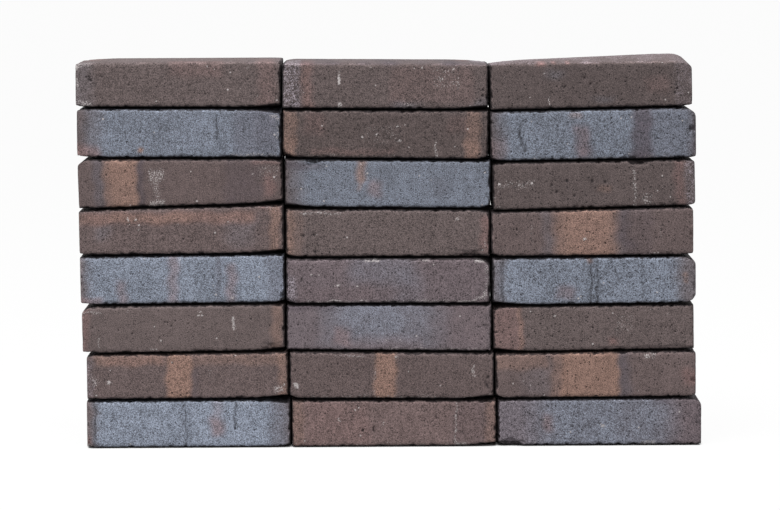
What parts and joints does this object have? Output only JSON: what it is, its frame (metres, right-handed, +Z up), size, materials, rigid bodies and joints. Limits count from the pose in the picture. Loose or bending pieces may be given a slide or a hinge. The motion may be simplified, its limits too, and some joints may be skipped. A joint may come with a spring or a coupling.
{
  "type": "stack of bricks",
  "caption": "Free-standing dry stack of solid fired clay facing bricks, one brick deep, in kiln tones of steel blue, mauve and brown with paler flame-flashed bands.",
  "frame": {"origin": "on the floor, under the centre of the bottom course's middle brick", "axes": "+X along the face of the stack to the right, +Y from the face to the back, +Z up"},
  "size_m": [0.6387, 0.1025, 0.3988],
  "materials": {
    "blue_brick": "matt, steel-blue ash-glazed fired clay with mauve ends",
    "slate_brick": "matt, mauve fired clay with a blue-grey cloud",
    "mauve_brick": "matt, mauve-brown fired clay",
    "brown_brick": "matt, dark brown fired clay with lime specks and pits",
    "flashed_brick": "matt, brown fired clay with pale orange-brown flash bands"
  },
  "bodies": {
    "root": {"brick_course1_left": "blue_brick", "brick_course1_middle": "mauve_brick", "brick_course1_right": "slate_brick", "brick_course2_left": "flashed_brick", "brick_course2_middle": "flashed_brick", "brick_course2_right": "flashed_brick", "brick_course3_left": "brown_brick", "brick_course3_middle": "slate_brick", "brick_course3_right": "brown_brick", "brick_course4_left": "blue_brick", "brick_course4_middle": "mauve_brick", "brick_course4_right": "blue_brick", "brick_course5_left": "flashed_brick", "brick_course5_middle": "brown_brick", "brick_course5_right": "flashed_brick", "brick_course6_left": "flashed_brick", "brick_course6_middle": "blue_brick", "brick_course6_right": "brown_brick", "brick_course7_left": "blue_brick", "brick_course7_middle": "brown_brick", "brick_course7_right": "blue_brick", "brick_course8_left": "brown_brick", "brick_course8_middle": "brown_brick", "brick_course8_right": "brown_brick"}
  },
  "joints": []
}
